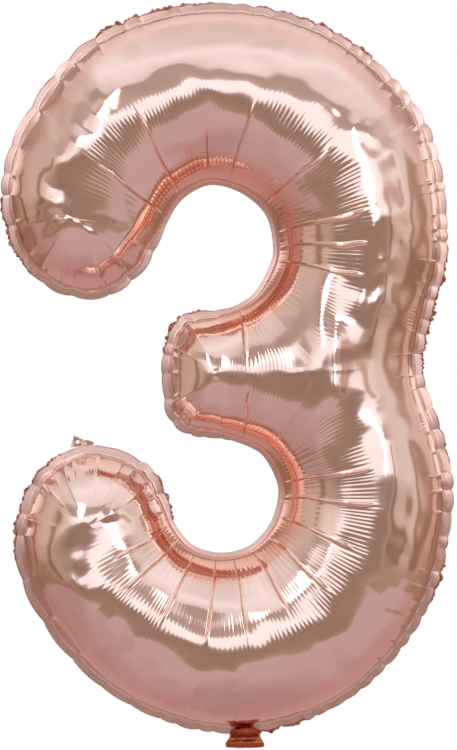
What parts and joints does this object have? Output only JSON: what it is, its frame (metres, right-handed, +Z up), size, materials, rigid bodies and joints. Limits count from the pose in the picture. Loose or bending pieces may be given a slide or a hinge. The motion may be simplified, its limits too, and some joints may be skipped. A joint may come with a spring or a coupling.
{
  "type": "foil number balloon",
  "caption": "Inflated digit-shaped balloon of two welded metallised films, with a crimped border, hanging tab, folding filling tail and self-sealing valve.",
  "frame": {"origin": "on the mid-plane at the bottom of the neck, where the ribbon is tied and the tail folds", "axes": "+Z up along the digit's height, -Y towards the reader, +X to the reader's right"},
  "size_m": [0.5229, 0.194, 0.8614],
  "materials": {
    "front_foil": "bright metallised film, rose gold, finely wrinkled",
    "rear_foil": "bright metallised film, rose gold, finely wrinkled",
    "tail_foil": "crumpled metallised film, deeper copper where it is folded",
    "weld": "fused film edge, satin",
    "valve_film": "milky clear polyethylene film"
  },
  "bodies": {
    "envelope": {"front_panel": "front_foil", "rear_panel": "rear_foil", "perimeter_weld": "weld", "valve_root_front_film": "valve_film", "valve_root_rear_film": "valve_film"},
    "tail": {"tail_front_film": "tail_foil", "tail_rear_film": "tail_foil"},
    "tab": {"hanging_tab": "front_foil"},
    "front_flap": {"valve_flap_front_film": "valve_film"},
    "rear_flap": {"valve_flap_rear_film": "valve_film"}
  },
  "joints": [
    {"name": "tail_fold", "type": "hinge", "parent": "envelope", "child": "tail", "pos_m": [0, 0, 0], "axis": [-1, 0, 0], "range_deg": [0, 230]},
    {"name": "tab_fold", "type": "hinge", "parent": "envelope", "child": "tab", "pos_m": [-0.18812, 0, 0.34881], "axis": [-0.9925, 0, -0.1219], "range_deg": [-55, 55]},
    {"name": "valve_front_open", "type": "hinge", "parent": "envelope", "child": "front_flap", "pos_m": [0, 0, 0.03015], "axis": [1, 0, 0], "range_deg": [0, 6], "stiffness_Nm_per_rad": 0.0005},
    {"name": "valve_rear_open", "type": "hinge", "parent": "envelope", "child": "rear_flap", "pos_m": [0, 0, 0.03015], "axis": [1, 0, 0], "range_deg": [-6, 0], "stiffness_Nm_per_rad": 0.0005}
  ],
  "couplings": [
    {"joint": "valve_rear_open", "follows": "valve_front_open", "ratio": -1}
  ]
}
